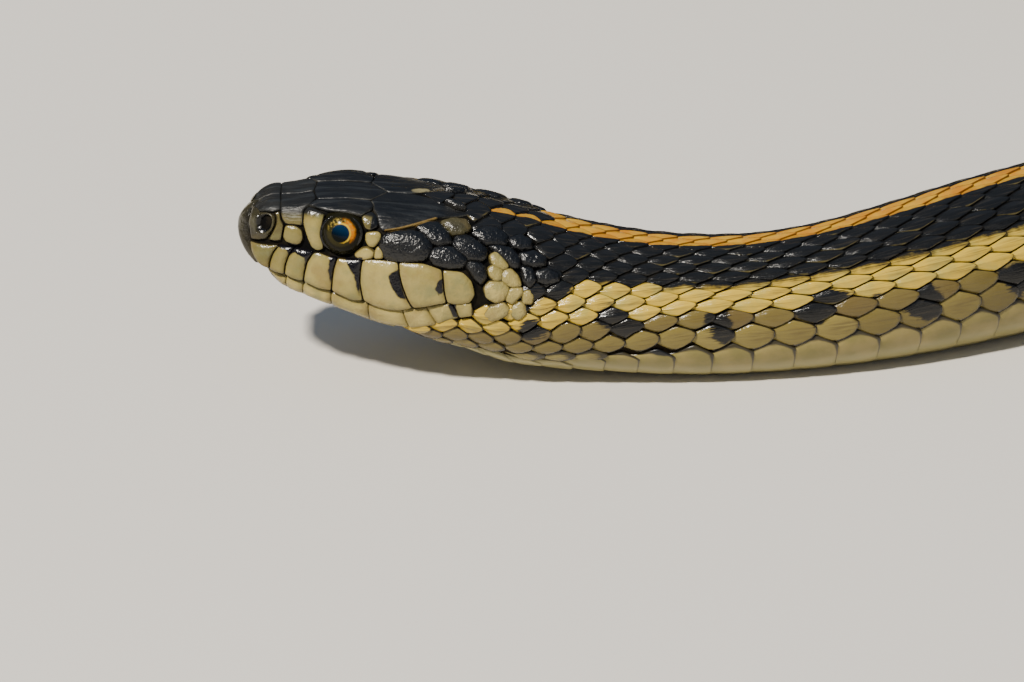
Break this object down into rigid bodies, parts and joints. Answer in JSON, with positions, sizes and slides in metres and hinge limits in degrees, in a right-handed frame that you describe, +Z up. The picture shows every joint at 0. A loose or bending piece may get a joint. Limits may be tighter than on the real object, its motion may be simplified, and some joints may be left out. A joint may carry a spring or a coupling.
{
  "type": "garter snake",
  "caption": "Still life-size garter snake, striped and scaled, resting in loose bends on its belly with its head a little raised.",
  "frame": {"origin": "the middle of the footprint, on the floor that the belly lies on", "axes": "+Z up; the head looks along -X; +Y is towards the tail"},
  "size_m": [0.2142, 0.263, 0.0149],
  "materials": {
    "head_shields": "smooth, satin to glossy dark plates with cream lips",
    "lip_shields": "smooth cream and black lip plates",
    "body_scales": "keeled scales, black with orange and yellow stripes",
    "belly_scutes": "broad smooth pale scutes",
    "skin": "matt dark skin between the scales",
    "eye": "wet glossy clear scale over an orange and brown iris with a round pupil"
  },
  "bodies": {
    "root": {"head": "head_shields", "lower_jaw": "lip_shields", "eye_left": "eye", "eye_right": "eye", "neck": "body_scales", "trunk_1": "body_scales", "trunk_2": "body_scales", "trunk_3": "body_scales", "trunk_4": "body_scales", "trunk_5": "body_scales", "trunk_6": "body_scales", "trunk_7": "body_scales", "trunk_8": "body_scales", "tail_1": "body_scales", "tail_2": "body_scales", "tail_3": "body_scales"}
  },
  "joints": []
}
